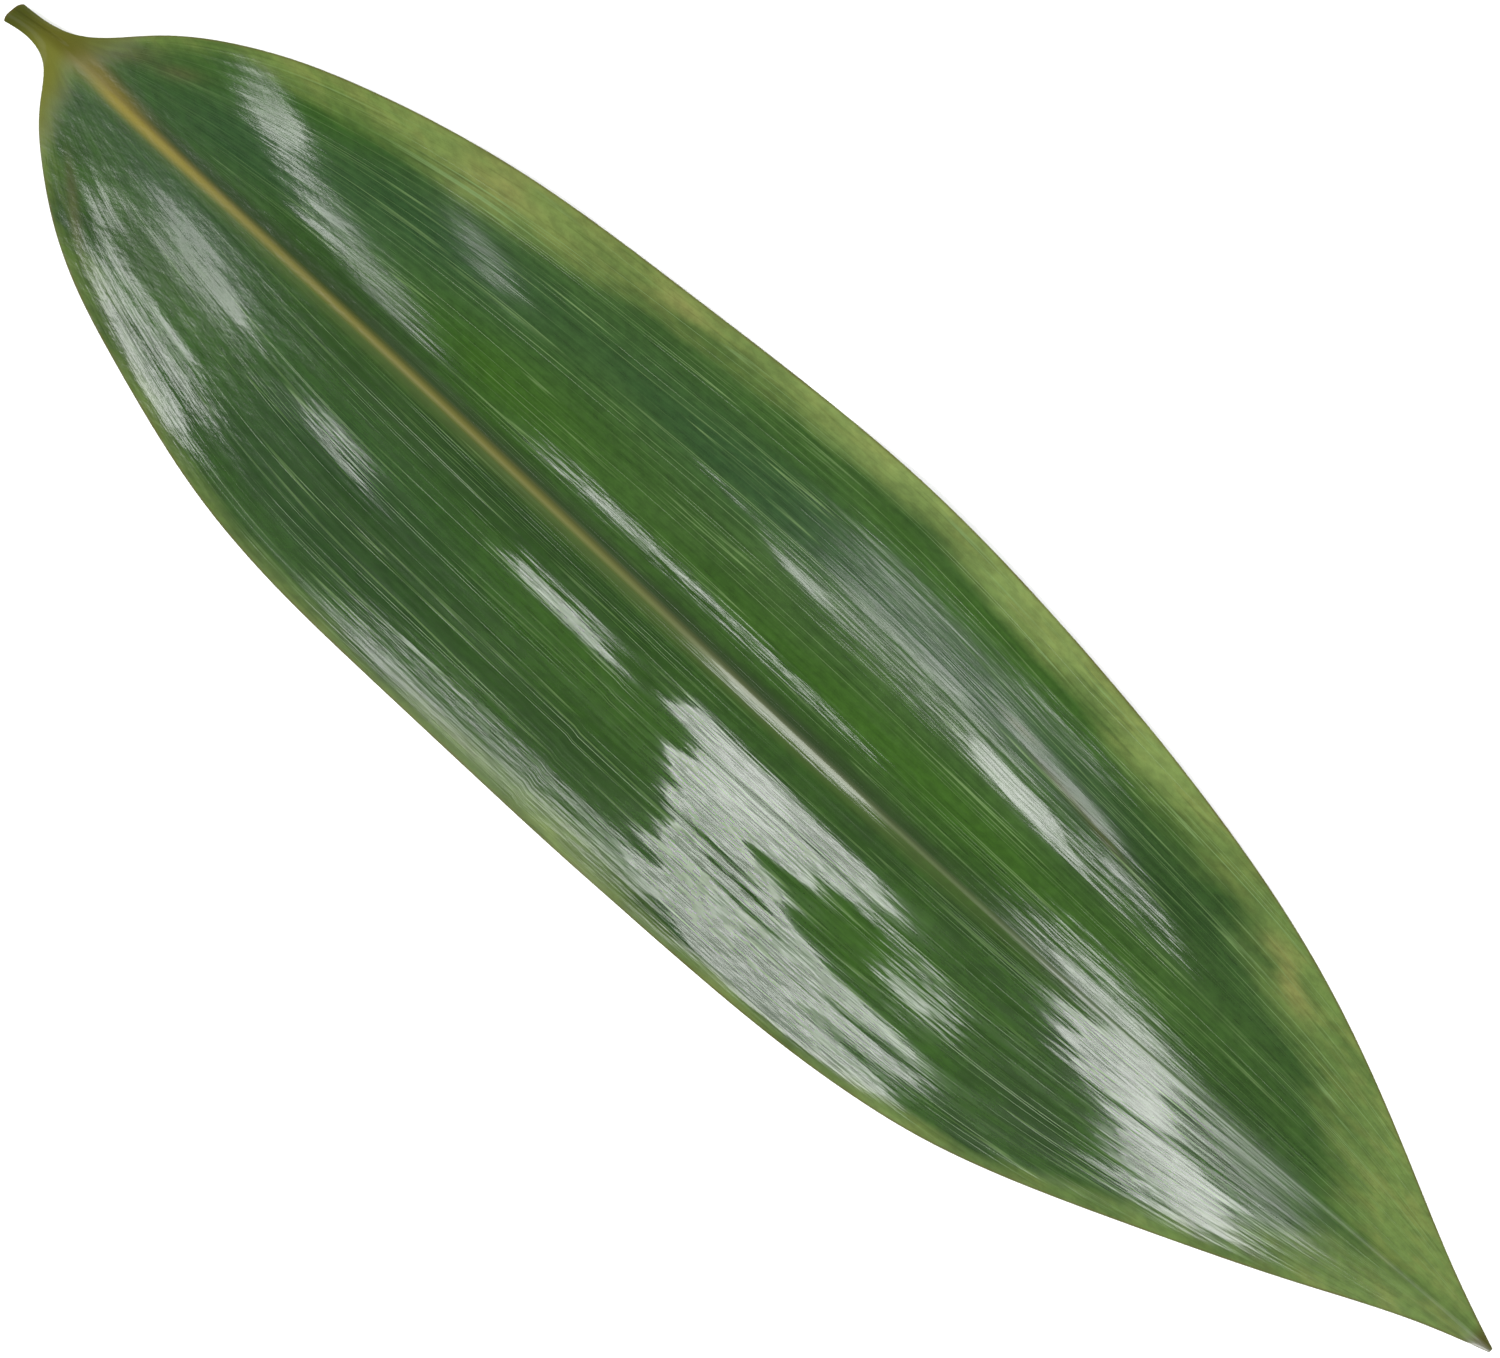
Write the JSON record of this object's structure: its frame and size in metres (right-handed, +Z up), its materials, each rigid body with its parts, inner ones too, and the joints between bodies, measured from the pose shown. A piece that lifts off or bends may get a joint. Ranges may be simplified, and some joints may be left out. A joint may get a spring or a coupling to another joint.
{
  "type": "bamboo leaf",
  "caption": "Broad green bamboo leaf lying face up, with a midrib, fine parallel veins, a gently waved margin and a short channelled stalk.",
  "frame": {"origin": "middle of the leaf's footprint, on the surface that it rests on", "axes": "+X along the leaf from the stalk to the tip, +Y across the blade, +Z up out of the upper face"},
  "size_m": [0.33, 0.0858, 0.0057],
  "materials": {
    "leaf": "waxy satin"
  },
  "bodies": {
    "root": {"bamboo_leaf": "leaf"}
  },
  "joints": []
}
